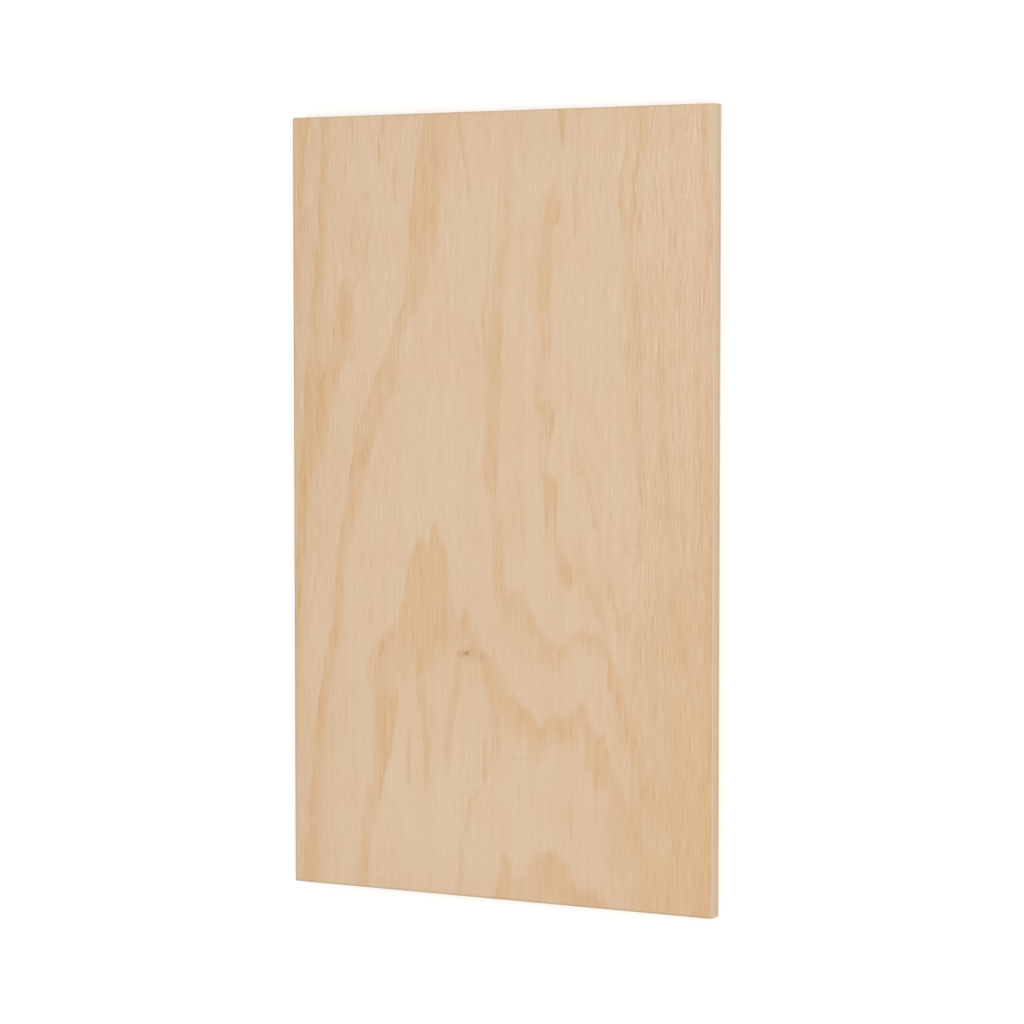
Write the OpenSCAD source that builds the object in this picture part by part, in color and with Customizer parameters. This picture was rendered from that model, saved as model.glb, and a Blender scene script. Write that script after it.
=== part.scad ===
// A plywood sheet, lying flat on its back veneer.
// It is one glued panel: an odd stack of veneers, each with its grain across that of the next.
// The grain of the face and of the back runs along Y, the length of the sheet.
// The origin is the middle of the underside.

/* [Sheet] */
// Length of the sheet, along the grain of its face
sheet_l = 1000; // [300:10:3000]
// Width of the sheet, across the grain of its face
sheet_w = 600; // [200:10:1500]
// Thickness of the whole sheet
sheet_t = 21; // [12:0.5:50]

/* [Veneers] */
// Number of veneers, always odd, so that face and back run the same way
ply_count = 5; // [3:2:15]
// Thickness of the face veneer, and of the back veneer, after sanding
face_t = 3.9; // [0.6:0.1:4.5]

/* [Sawn edges] */
// How far the crumbling end grain stands back from the long grain beside it
end_grain_setback = 0.2; // [0.05:0.05:0.6]
// Width of the bevel sanded along the edges of the face and of the back
arris = 0.4; // [0.1:0.1:0.5]

/* [Hidden] */

veneer_colour = [0.86, 0.75, 0.61];

// The inner veneers share what the face and the back leave of the thickness.
inner_t = (sheet_t - 2 * face_t) / (ply_count - 2);
top_ply = ply_count - 1;

// Height of the glue line under veneer i. The first and last of these are the back and the face.
function glue_line(i) = i == 0 ? 0 : i == ply_count ? sheet_t : face_t + (i - 1) * inner_t;

// Every second veneer, counted from the back, is a cross ply, with its grain along the width.
function is_cross_ply(i) = i % 2 != 0;

// How far veneer i reaches from the middle of the sheet, towards its long edges or its short ones.
// The long edges cut the cross plies as end grain, and the short edges cut the others.
function reach(i, size, long_edge) =
    size / 2 - (is_cross_ply(i) == long_edge ? end_grain_setback : 0);

// The section of veneer i, with a bevel where it is the back or the face of the sheet.
module veneer_section(i, size, long_edge) {
    half = reach(i, size, long_edge);
    low = glue_line(i);
    high = glue_line(i + 1);
    right = [
        each i == 0 ? [[half - arris, low], [half, low + arris]] : [[half, low]],
        each i == top_ply ? [[half, high - arris], [half - arris, high]] : [[half, high]]
    ];
    left = [for (k = [len(right) - 1 : -1 : 0]) [-right[k].x, right[k].y]];
    polygon(concat(right, left));
}

// One veneer: where its section across the width and its section along the length cross.
module veneer(i) {
    intersection() {
        rotate([90, 0, 0])
            linear_extrude(height = sheet_l, center = true)
                veneer_section(i, sheet_w, long_edge = true);
        rotate([90, 0, 90])
            linear_extrude(height = sheet_w, center = true)
                veneer_section(i, sheet_l, long_edge = false);
    }
}

// The glued panel. Each of its edges shows its own steps of end grain and long grain.
module plywood_sheet() {
    color(veneer_colour)
        for (i = [0 : top_ply]) veneer(i);
}

plywood_sheet();
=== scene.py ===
"""A plywood sheet: a panel built up from its plies, its veneers and sawn edges, and a plain stage."""

import math

import bpy
from bpy.props import FloatProperty, FloatVectorProperty, IntProperty, PointerProperty
from mathutils import Matrix, Vector


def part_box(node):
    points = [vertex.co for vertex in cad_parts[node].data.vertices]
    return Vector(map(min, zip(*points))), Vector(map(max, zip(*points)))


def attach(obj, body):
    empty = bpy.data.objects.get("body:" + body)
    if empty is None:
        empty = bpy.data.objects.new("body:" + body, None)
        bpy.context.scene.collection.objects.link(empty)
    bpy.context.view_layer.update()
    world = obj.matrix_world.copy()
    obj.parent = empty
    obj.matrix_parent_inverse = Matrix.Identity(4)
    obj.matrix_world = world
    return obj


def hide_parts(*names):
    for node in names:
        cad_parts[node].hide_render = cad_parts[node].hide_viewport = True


bl_info = {
    "name": "Plywood Sheet",
    "version": (1, 0, 0),
    "blender": (4, 5, 0),
    "location": "View3D > Sidebar > Plywood",
    "description": "Builds a plywood sheet from its plies, with figured veneers and sawn edges",
    "category": "Object",
}

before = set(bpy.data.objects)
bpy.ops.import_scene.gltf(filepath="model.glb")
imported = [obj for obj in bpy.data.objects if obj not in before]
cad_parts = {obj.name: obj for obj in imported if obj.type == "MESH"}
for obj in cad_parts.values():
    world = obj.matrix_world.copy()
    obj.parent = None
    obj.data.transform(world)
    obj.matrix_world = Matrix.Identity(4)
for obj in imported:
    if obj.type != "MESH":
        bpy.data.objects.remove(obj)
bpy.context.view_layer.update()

SHEET_NODE = "plywood_sheet"
SHEET_LOW, SHEET_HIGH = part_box(SHEET_NODE)
SHEET_SIZE = SHEET_HIGH - SHEET_LOW

MM = 0.001
WIDTH_MM = SHEET_SIZE.x / MM
LENGTH_MM = SHEET_SIZE.y / MM

# The figure of a veneer is drawn in millimetres: in from the left edge, and up from the foot.
# A leg is a band of late wood along the grain. Each of its points is (up, in, half width, strength).
# The second value of a leg is the side where the band ends in a dark line: -1 left, 1 right.
# The third is the softness of its edges in millimetres.
FACE_LEGS = {
    "left rim": (1, 1.5, [
        (1000, 16, 9, 0.95), (940, 12, 6, 0.85), (900, 10, 6, 0.65), (860, 6, 4, 0.75), (820, 5, 4, 0.75),
        (780, 6, 4, 0.5), (640, 6, 4, 0.35), (580, 9, 5, 0.4), (560, 11, 7, 0.65), (520, 12, 8, 1.0),
        (480, 11, 7, 1.0), (440, 10, 7, 0.85), (400, 6, 5, 1.0), (360, 5, 4, 0.85), (300, 4, 3, 0.65),
        (220, 4, 3, 0.65), (140, 3, 2.5, 0.2), (0, 3, 2.5, 0.25)]),
    "outer left": (-1, 2.0, [
        (1000, 51, 6, 0.85), (950, 48, 6, 0.78), (900, 46, 5, 0.8), (860, 44, 6, 0.85), (820, 41, 7, 0.95),
        (780, 38, 8, 0.75), (740, 35, 8, 0.7), (700, 37, 12, 0.55), (670, 33, 14, 0.9), (640, 34, 18, 1.0),
        (620, 34, 18, 1.0), (600, 32, 17, 0.9), (580, 30, 15, 0.95), (560, 27, 13, 1.0),
        (540, 21, 12, 0.85), (520, 17, 11, 0.65), (500, 15, 10, 0.6), (480, 13, 8, 0.3),
        (460, 11, 7, 0.0)]),
    "short left": (-1, 2.0, [
        (795, 82, 2, 0.0), (785, 80, 5, 0.9), (760, 80, 12, 0.9), (740, 77, 15, 1.0), (720, 75, 15, 0.95),
        (700, 71, 14, 0.65), (680, 62, 13, 0.75), (650, 51, 12, 1.0), (620, 45, 10, 1.0),
        (590, 43, 6, 0.85), (555, 39, 4, 0.3), (530, 35, 2, 0.0)]),
    "short tail": (1, 1.5, [
        (870, 117, 2, 0.0), (850, 115, 3, 0.5), (800, 104, 3, 0.25), (775, 92, 3, 0.4), (755, 90, 2, 0.0)]),
    "long left": (-1, 2.0, [
        (1000, 218, 20, 0.62), (950, 210, 21, 0.8), (900, 202, 23, 0.9), (850, 197, 22, 0.8),
        (820, 194, 20, 0.6), (800, 188, 18, 0.45), (780, 184, 16, 0.5), (760, 178, 13, 0.68),
        (740, 168, 12, 0.58), (715, 156, 9, 0.5), (685, 147, 13, 0.62), (650, 138, 18, 0.6),
        (615, 122, 18, 0.56), (580, 110, 16, 0.6), (540, 98, 13, 0.82), (500, 91, 11, 0.75),
        (465, 81, 9, 0.55), (435, 73, 8, 0.52), (400, 69, 7, 0.65), (350, 67, 7, 0.74), (315, 61, 10, 0.55),
        (290, 54, 8, 0.62), (245, 44, 7, 0.95), (200, 39, 10, 0.8), (165, 37, 9, 0.64), (130, 33, 8, 0.7),
        (80, 31, 8, 0.68), (40, 26, 12, 0.82), (0, 22, 12, 0.82)]),
    "head wisp": (-1, 1.5, [
        (1000, 137, 3, 0.7), (960, 131, 3, 0.9), (930, 128, 2, 0.1), (905, 122, 2, 0.0)]),
    "head twin": (-1, 1.2, [
        (975, 142, 2, 0.0), (960, 140, 2, 0.4), (925, 133, 2, 0.25), (905, 131, 2, 0.0)]),
    "head strand": (1, 1.2, [
        (955, 154, 2, 0.0), (940, 153, 2.5, 0.25), (900, 151, 2.5, 0.7), (880, 150, 2, 0.0)]),
    "head streak": (1, 1.5, [(1000, 88, 4, 0.6), (960, 86, 3, 0.7), (930, 84, 2, 0.0)]),
    "head thread": (-1, 1.2, [
        (1000, 246, 3, 0.8), (960, 252, 3, 0.75), (910, 258, 3, 0.45), (885, 263, 2, 0.3),
        (870, 266, 2, 0.0)]),
    "middle": (1, 2.0, [
        (985, 318, 6, 0.0), (940, 318, 7, 0.15), (900, 316, 11, 0.38), (860, 314, 12, 0.36),
        (820, 306, 9, 0.55), (760, 301, 9, 0.52), (700, 297, 10, 0.8), (655, 295, 10, 0.58),
        (600, 293, 10, 0.74), (550, 290, 11, 0.8), (505, 295, 8, 0.5), (480, 300, 8, 0.6),
        (440, 302, 7, 0.68), (410, 303, 8, 0.62), (388, 310, 11, 0.52), (372, 316, 14, 0.42),
        (355, 314, 14, 0.45), (338, 318, 9, 0.0)]),
    "middle thread": (-1, 1.2, [
        (890, 292, 2, 0.0), (870, 291, 2, 0.3), (820, 289, 2, 0.4), (780, 287, 2, 0.45), (740, 283, 2, 0.7),
        (700, 282, 2, 0.4), (670, 281, 2, 0.0)]),
    "upper thread": (1, 1.2, [
        (880, 342, 2, 0.0), (860, 341, 2, 0.1), (770, 336, 2, 0.1), (745, 335, 2, 0.0)]),
    "lower thread": (1, 1.2, [
        (550, 330, 2, 0.0), (535, 331, 2.5, 0.35), (450, 339, 2.5, 0.25), (430, 341, 2, 0.0)]),
    "nested": (1, 2.0, [
        (925, 376, 8, 0.0), (900, 378, 9, 0.3), (880, 377, 13, 0.78), (868, 378, 13, 0.85),
        (855, 372, 9, 0.58), (840, 370, 8, 0.54), (800, 366, 11, 0.65), (750, 367, 10, 0.78),
        (700, 369, 8, 0.62), (665, 363, 9, 0.45), (638, 362, 14, 0.52), (618, 371, 9, 0.88),
        (580, 366, 8, 0.56), (555, 365, 7, 0.5), (530, 377, 10, 0.92), (490, 376, 10, 0.78),
        (455, 380, 10, 0.5), (435, 392, 10, 0.65), (415, 396, 10, 0.95), (402, 399, 5, 0.6),
        (392, 400, 2, 0.0)]),
    "nested return": (-1, 2.0, [
        (470, 417, 2, 0.0), (455, 418, 6, 0.35), (432, 419, 10, 0.28), (410, 428, 5, 0.35),
        (390, 438, 5, 0.6), (370, 447, 5, 0.4), (345, 452, 3, 0.35), (320, 457, 4, 0.9), (295, 464, 5, 0.9),
        (270, 470, 6, 0.95), (245, 480, 6, 0.8), (215, 490, 6, 0.85), (190, 499, 9, 0.32),
        (160, 512, 9, 0.5), (120, 525, 12, 0.3), (90, 530, 14, 0.0)]),
    "nested thread": (1, 1.5, [
        (690, 402, 4, 0.0), (660, 404, 4, 0.5), (600, 411, 2, 0.3), (560, 411, 3, 0.65),
        (540, 419, 8, 0.45), (520, 431, 3, 0.45), (500, 438, 2, 0.8), (470, 446, 2, 0.32),
        (440, 453, 2, 0.2), (410, 458, 3, 0.38), (380, 465, 3, 0.65), (350, 473, 2, 0.1),
        (330, 478, 2, 0.0)]),
    "head short": (1, 1.2, [
        (1000, 392, 5, 0.7), (975, 392, 4, 0.68), (960, 393, 3, 0.48), (945, 393, 2, 0.0)]),
    "head line": (1, 1.2, [
        (1000, 418, 3, 0.5), (960, 414, 3, 0.4), (900, 411, 3, 0.4), (855, 409, 3, 0.85),
        (835, 408, 2, 0.0)]),
    "eye left": (-1, 1.5, [
        (1000, 480, 3, 0.35), (975, 480, 3, 0.5), (950, 481, 3, 0.75), (915, 477, 4, 0.5),
        (885, 475, 4, 0.85), (860, 478, 3, 0.85), (835, 481, 3, 0.3), (790, 484, 4, 0.4),
        (740, 486, 3, 0.2), (700, 484, 3, 0.3), (658, 482, 3, 0.45), (620, 481, 2, 0.0)]),
    "eye right": (1, 1.8, [
        (1000, 505, 5, 0.7), (960, 503, 5, 0.48), (935, 500, 5, 0.7), (905, 491, 5, 0.7),
        (880, 491, 4, 0.9), (858, 495, 8, 0.85), (840, 490, 8, 0.3), (800, 490, 6, 0.45),
        (765, 495, 5, 0.48), (720, 495, 6, 0.48), (670, 496, 5, 0.5), (620, 495, 7, 0.46),
        (595, 498, 6, 0.36), (560, 503, 4, 0.6), (530, 505, 5, 0.62), (480, 503, 5, 0.48),
        (455, 502, 4, 0.5), (430, 500, 2, 0.0)]),
    "right inner": (1, 2.0, [
        (810, 530, 4, 0.0), (760, 531, 5, 0.3), (700, 529, 4.5, 0.52), (640, 530, 5, 0.38),
        (600, 531, 4, 0.46), (560, 537, 4, 0.85), (515, 536, 5, 0.7), (470, 539, 3, 0.45),
        (430, 541, 2, 0.35), (400, 548, 3, 0.35), (370, 549, 6, 0.52), (335, 553, 10, 0.52),
        (310, 556, 10, 0.2), (280, 556, 10, 0.0)]),
    "right thread": (1, 1.2, [
        (820, 586, 3, 0.0), (800, 584, 4, 0.35), (760, 583, 2, 0.35), (700, 582, 2.5, 0.35),
        (640, 581, 3, 0.36), (560, 581, 2, 0.65), (500, 582, 3, 0.9), (450, 583, 2, 0.5),
        (400, 581, 2, 0.4), (360, 580, 2, 0.0)]),
    "right rim": (-1, 1.5, [
        (1000, 587, 4, 0.55), (940, 586, 4, 0.55), (900, 590, 6, 0.6), (860, 595, 5, 0.5),
        (820, 594, 5, 0.6), (780, 589, 5, 0.65), (700, 594, 4, 0.2), (580, 595, 4, 0.35),
        (540, 596, 3.5, 0.6), (500, 596, 3.5, 0.6), (460, 595, 4, 0.3), (390, 594, 5, 0.6),
        (340, 595, 4, 0.55), (310, 594, 4, 0.35), (220, 596, 4, 0.45), (140, 596, 4, 0.6),
        (100, 596, 4, 0.5), (50, 591, 7, 0.45), (0, 586, 14, 0.95)]),
    "right strand": (1, 1.2, [
        (770, 553, 2, 0.0), (745, 552, 3, 0.45), (705, 552, 3, 0.45), (685, 551, 2, 0.0)]),
    "cathedral leg": (1, 2.0, [
        (325, 131, 4, 0.0), (305, 128, 8, 0.12), (275, 134, 16, 0.58), (250, 135, 20, 0.75),
        (215, 134, 18, 0.9), (180, 131, 15, 0.84), (155, 126, 11, 0.7), (125, 120, 11, 0.68),
        (90, 112, 9, 0.48), (55, 105, 8, 0.74), (25, 102, 10, 0.68), (0, 101, 10, 0.68)]),
    "cathedral thread": (-1, 1.2, [
        (335, 139, 2, 0.0), (318, 135, 3, 0.85), (300, 125, 2.5, 0.9), (275, 120, 2.5, 0.9),
        (255, 118, 2, 0.0)]),
    "knot flare": (1, 1.5, [
        (374, 254, 3, 0.0), (358, 254, 6, 0.7), (345, 254, 8, 0.75), (332, 253, 7, 0.45),
        (316, 254, 6, 0.3), (298, 256, 3, 0.0)]),
    "first tooth": (1, 1.2, [
        (215, 170, 3, 0.0), (195, 170, 4, 0.85), (165, 171, 4, 0.76), (145, 172, 3, 0.34),
        (130, 172, 2, 0.0)]),
    "second tooth": (1, 1.5, [
        (300, 190, 9, 0.0), (262, 190, 8, 0.6), (240, 193, 5, 0.76), (200, 195, 4.5, 0.85),
        (165, 197, 4.5, 0.66), (140, 197, 4, 0.34), (115, 198, 2, 0.0)]),
    "third tooth": (1, 1.5, [
        (325, 243, 4, 0.0), (285, 242, 4, 0.7), (245, 237, 5, 0.5), (215, 232, 6, 0.46),
        (185, 229, 6, 0.68), (160, 227, 4, 0.48), (140, 225, 2, 0.0)]),
    "fourth tooth": (1, 1.5, [
        (250, 297, 4, 0.0), (230, 299, 5, 0.7), (215, 300, 6, 0.45), (198, 303, 5, 0.65),
        (183, 303, 2, 0.0)]),
    "foot thread": (-1, 1.5, [
        (215, 286, 2, 0.0), (198, 284, 2.5, 0.7), (180, 283, 2.5, 0.66), (162, 282, 3.5, 0.8),
        (148, 281, 2, 0.2), (125, 265, 6, 0.6), (90, 258, 3, 0.25), (60, 248, 4, 0.38), (35, 248, 4, 0.55),
        (0, 246, 4, 0.55)]),
    "foot dash": (1, 1.2, [(145, 404, 2, 0.0), (125, 406, 3, 0.42), (100, 406, 3, 0.5), (85, 405, 2, 0.0)]),
}

# An arch is a field of late wood under a rim. Each of its points is (in, upper rim, lower rim, strength).
FACE_ARCHES = {
    "cathedral": [
        (112, 280, 250, 0.0), (120, 300, 252, 0.62), (128, 318, 264, 0.76), (140, 332, 286, 0.8),
        (152, 348, 302, 0.55), (162, 372, 300, 0.55), (168, 405, 296, 0.72), (176, 434, 292, 0.66),
        (190, 458, 280, 0.78), (197, 450, 284, 0.76), (204, 465, 295, 0.7), (210, 480, 303, 0.68),
        (218, 460, 308, 0.8), (226, 446, 313, 0.68), (231, 418, 318, 0.5), (238, 370, 325, 0.62),
        (246, 349, 328, 0.6), (253, 368, 332, 0.9), (261, 345, 322, 0.65), (270, 325, 303, 0.8),
        (280, 315, 287, 0.78), (288, 303, 255, 0.75), (296, 289, 240, 0.76), (304, 275, 234, 0.72),
        (313, 265, 226, 0.8), (322, 261, 215, 0.82), (330, 258, 206, 0.78), (338, 249, 203, 0.9),
        (350, 236, 191, 0.82), (360, 222, 190, 0.8), (370, 232, 203, 0.8), (381, 241, 206, 0.66),
        (394, 236, 202, 0.84), (405, 241, 207, 0.64), (417, 257, 213, 0.66), (427, 246, 186, 0.78),
        (434, 226, 163, 0.55), (443, 216, 148, 0.68), (451, 221, 156, 0.88), (460, 190, 160, 0.55),
        (470, 165, 135, 0.45), (480, 143, 112, 0.4), (490, 125, 88, 0.38), (500, 104, 62, 0.4),
        (510, 80, 42, 0.35), (520, 58, 20, 0.2), (532, 30, 0, 0.0)],
    "haze": [
        (105, 300, 270, 0.0), (125, 325, 275, 0.5), (160, 345, 275, 0.5), (200, 335, 290, 0.35),
        (240, 340, 295, 0.3), (262, 345, 290, 0.4), (280, 325, 275, 0.35), (300, 302, 240, 0.4),
        (320, 275, 235, 0.3), (335, 262, 235, 0.0)],
    "turn": [
        (296, 382, 376, 0.0), (310, 388, 350, 0.5), (325, 396, 340, 0.5), (338, 392, 356, 0.7),
        (346, 378, 344, 0.66), (354, 360, 328, 0.66), (364, 345, 305, 0.62), (376, 336, 298, 0.66),
        (390, 330, 300, 0.8), (400, 333, 318, 0.5), (412, 346, 331, 0.56), (425, 349, 333, 0.8),
        (440, 345, 332, 0.75), (450, 342, 326, 0.7), (458, 330, 322, 0.0)],
    "turn haze": [
        (296, 370, 335, 0.0), (312, 376, 322, 0.25), (330, 374, 312, 0.28), (350, 352, 300, 0.28),
        (375, 332, 288, 0.22), (400, 328, 292, 0.15), (420, 340, 310, 0.0)],
    "foot": [
        (292, -10, -90, 0.5), (304, 30, -90, 0.85), (312, 62, -90, 0.85), (320, 46, -90, 0.65),
        (330, 26, -90, 0.32), (340, 33, -90, 0.36), (350, 63, -30, 0.42), (356, 68, -12, 0.55),
        (364, 60, 4, 0.65), (378, 66, 6, 0.85), (390, 62, 0, 0.66), (402, 46, -50, 0.78),
        (412, 24, -90, 0.8), (424, 20, -90, 0.75), (440, 18, -90, 0.75), (452, 11, -90, 0.6),
        (462, -10, -90, 0.4)],
}

# Pin knots, flecks and pale patches, as (in, up, half width, half height, strength).
FACE_KNOTS = [
    (257, 313, 4, 3.4, 0.58), (256, 313, 7, 5.5, 0.24), (258, 313, 15, 9, 0.07), (281, 309, 9, 8, 0.1),
    (338, 183, 26, 3.5, 0.06), (430, 8, 18, 6, 0.04), (392, 984, 5, 26, 0.06),
]
FACE_FLECKS = [
    (248, 311, 9, 6, 0.26), (258, 312, 22, 13, 0.1), (133, 318, 3.5, 7, 0.26), (113, 895, 6, 8, 0.22),
    (110, 890, 12, 18, 0.1), (94, 878, 20, 26, 0.07), (281, 306, 9, 8, 0.05), (120, 850, 45, 80, 0.05),
    (430, 170, 80, 230, 0.035), (262, 320, 70, 150, 0.04), (340, 300, 60, 90, 0.025),
    (465, 550, 60, 190, 0.02), (470, 985, 130, 50, 0.025), (385, 402, 34, 66, 0.045),
    (339, 961, 18, 32, 0.05), (226, 262, 12, 44, 0.055), (150, 80, 18, 26, 0.045), (414, 270, 8, 28, 0.06),
]
FACE_PALES = [
    (465, 840, 55, 80, 0.7), (130, 480, 32, 45, 0.5), (38, 320, 20, 100, 0.5), (404, 855, 14, 40, 0.5),
]

# The back veneer was peeled from the same log and is plainer.
BACK_LEGS = {
    "left rim": (-1, 2.0, [
        (1000, 38, 6, 0.5), (800, 30, 8, 0.6), (600, 41, 6, 0.5), (380, 33, 9, 0.7), (180, 22, 7, 0.6),
        (0, 27, 6, 0.5)]),
    "left": (-1, 2.0, [
        (1000, 112, 9, 0.6), (840, 104, 12, 0.7), (660, 123, 8, 0.6), (480, 117, 11, 0.8),
        (300, 92, 13, 0.7), (120, 84, 9, 0.6), (0, 89, 8, 0.6)]),
    "inner left": (1, 2.0, [
        (1000, 190, 7, 0.5), (820, 186, 9, 0.6), (690, 203, 13, 0.7), (560, 214, 8, 0.6),
        (400, 176, 9, 0.7), (250, 150, 12, 0.6), (0, 143, 8, 0.6)]),
    "middle": (1, 2.0, [
        (1000, 321, 6, 0.4), (880, 313, 10, 0.6), (760, 322, 15, 0.7), (690, 331, 9, 0.5),
        (640, 336, 3, 0.0)]),
    "inner right": (-1, 2.0, [
        (1000, 414, 7, 0.6), (830, 421, 11, 0.6), (650, 409, 9, 0.7), (520, 428, 8, 0.6),
        (360, 461, 12, 0.7), (170, 471, 9, 0.6), (0, 466, 8, 0.6)]),
    "right": (-1, 2.0, [
        (1000, 506, 6, 0.5), (780, 513, 8, 0.6), (560, 502, 7, 0.6), (330, 524, 9, 0.7), (120, 533, 8, 0.6),
        (0, 530, 7, 0.5)]),
    "right rim": (1, 2.0, [
        (1000, 571, 5, 0.5), (700, 577, 6, 0.5), (420, 569, 5, 0.6), (200, 580, 6, 0.5), (0, 583, 6, 0.5)]),
}
BACK_ARCHES = {
    "cathedral": [
        (226, 20, -60, 0.0), (238, 130, -60, 0.6), (252, 250, 60, 0.7), (268, 352, 190, 0.7),
        (284, 430, 270, 0.8), (300, 462, 320, 0.8), (318, 428, 290, 0.8), (338, 356, 210, 0.7),
        (356, 250, 90, 0.7), (372, 130, -60, 0.6), (386, 20, -60, 0.0)],
}
BACK_KNOTS = [(338, 628, 4, 3.5, 0.7), (340, 630, 14, 9, 0.1)]
BACK_FLECKS = [(334, 629, 10, 7, 0.3), (148, 742, 4, 8, 0.35), (480, 250, 3, 7, 0.35)]
BACK_PALES = [(235, 700, 40, 90, 0.5), (520, 420, 40, 80, 0.4)]

# The figure is looked up a little past the ends of the sheet, so that wandering fibres still find it.
FIGURE_MARGIN_MM = 100
FIGURE_SPAN_MM = LENGTH_MM + 2 * FIGURE_MARGIN_MM
WIDEST_HALF_MM = 60

# The grain of a veneer hardly changes through its thickness.
GRAIN_DEPTH_MM = 1000

# Plies are counted from the back. One of the cross plies is of darker wood.
PLY_LEVEL = "ply_level"
PLY_ROW = "ply_row"
ROWS_PER_PLY = 4
DARK_PLY = 1

# The panel's material slots. The sawn edge has the first.
FACE_SLOT, BACK_SLOT = 1, 2

BAKE_MAP = "OFBake"
NUMBER = "NodeSocketFloat"
BAND = "NodeSocketVector"
WHITE = (1.0, 1.0, 1.0, 1.0)
FLOOR_REACH = 20.0
SENSOR_WIDTH_MM = 36.0


def srgb(red, green, blue):
    """The linear colour of an 8-bit display colour."""
    def linear(value):
        share = value / 255
        return share / 12.92 if share <= 0.04045 else ((share + 0.055) / 1.055) ** 2.4
    return linear(red), linear(green), linear(blue)


def colour_property(name, description, default):
    return FloatVectorProperty(
        name=name, description=description, default=default, size=3, min=0.0, max=1.0, subtype="COLOR")


def length_property(name, description, default, least=0.0):
    return FloatProperty(name=name, description=description, default=default, min=least, unit="LENGTH")


def place_property(name, description, default):
    return FloatVectorProperty(
        name=name, description=description, default=default, size=3, subtype="TRANSLATION", unit="LENGTH")


class PlywoodSheetSettings(bpy.types.PropertyGroup):
    """Sizes of the sheet and of its plies."""

    width: length_property("Width", "Width of the sheet, across the face grain", SHEET_SIZE.x, 0.1)
    length: length_property("Length", "Length of the sheet, along the face grain", SHEET_SIZE.y, 0.1)
    thickness: length_property("Thickness", "Thickness of the whole sheet", SHEET_SIZE.z, 6 * MM)
    ply_count: IntProperty(
        name="Plies", description="Number of veneers, always odd", default=5, min=3, max=15)
    face_veneer: length_property(
        "Face veneer", "Thickness of the face veneer and of the back veneer", 3.9 * MM, 0.6 * MM)
    end_grain_setback: length_property(
        "End grain setback", "How far end grain stands back from long grain", 0.2 * MM)
    arris: length_property(
        "Arris", "Width of the bevel along the edges of face and back", 0.4 * MM, 0.1 * MM)
    glue_line_wander: length_property(
        "Glue line wander", "How far a glue line strays from level", 0.25 * MM)
    cell: length_property("Cell", "Size of a cell of the panel's grid", 6 * MM, 2 * MM)
    seed: IntProperty(name="Seed", description="Seed of the uneven edges", default=7)


class PlywoodColourSettings(bpy.types.PropertyGroup):
    """Colours of the wood."""

    pale: colour_property("Pale wood", "Palest early wood", srgb(220, 194, 164))
    cream: colour_property("Cream wood", "Common early wood", srgb(220, 192, 160))
    blush: colour_property("Blush wood", "Warmer early wood", srgb(219, 188, 154))
    tan: colour_property("Tan wood", "Broad darker early wood", srgb(215, 182, 142))
    honey: colour_property("Honey wood", "Late wood of the bands", srgb(215, 176, 132))
    # The dusky tone makes the face darker towards its left, right, head and foot.
    dusk: colour_property("Dusky wood", "Duller early wood near the edges", srgb(215, 184, 150))
    late_line: colour_property("Late wood line", "Dark line where a band ends", srgb(203, 163, 119))
    fibre: colour_property("Fibre", "Darker fibres", srgb(192, 157, 121))
    # The soil colour is grime and painted shade along the edges of the face.
    soil_and_shade: colour_property("Soil", "Grime along the edges of the face", srgb(122, 122, 126))
    knot: colour_property("Knot", "Heart of a pin knot", srgb(152, 107, 44))
    fleck: colour_property("Fleck", "Reddish flecks", srgb(196, 130, 76))
    long_grain: colour_property("Edge long grain", "Plies that run along an edge", srgb(222, 202, 172))
    end_grain: colour_property("Edge end grain", "Plies that end at an edge", srgb(219, 196, 166))
    glue: colour_property("Glue", "Glue lines", srgb(166, 130, 96))
    dust: colour_property("Dust", "Dusty edge of the lowest ply", srgb(222, 209, 192))


class PlywoodStageSettings(bpy.types.PropertyGroup):
    """Floor, light and camera."""

    floor_colour: colour_property("Floor", "Colour of the floor", (0.9, 0.9, 0.9))
    floor_lift: FloatProperty(
        name="Floor lift", description="White added to the floor as the camera sees it",
        default=0.22, min=0.0)
    sky_strength: FloatProperty(
        name="Sky", description="Strength of the even light from all round", default=0.9, min=0.0)
    key_power: FloatProperty(
        name="Key light", description="Power of the large soft lamp", default=16.5, min=0.0, unit="POWER")
    key_size: length_property("Key light size", "Width of the large soft lamp", 1.6)
    key_place: place_property("Key light place", "Where the large soft lamp hangs", (2.2, 0.1, 2.7))
    lens: FloatProperty(
        name="Lens", description="Focal length of the camera, in millimetres", default=114.2, min=10.0)
    distance: length_property("Distance", "Distance of the camera from its aim", 4.114)
    azimuth: FloatProperty(
        name="Azimuth", description="Side that the camera stands on", default=math.radians(96.94),
        subtype="ANGLE")
    elevation: FloatProperty(
        name="Elevation", description="Height of the camera above the floor", default=math.radians(62.07),
        subtype="ANGLE")
    aim: place_property("Aim", "Point that the camera looks at", (0.0167, -0.0056, 0.0105))


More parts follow.
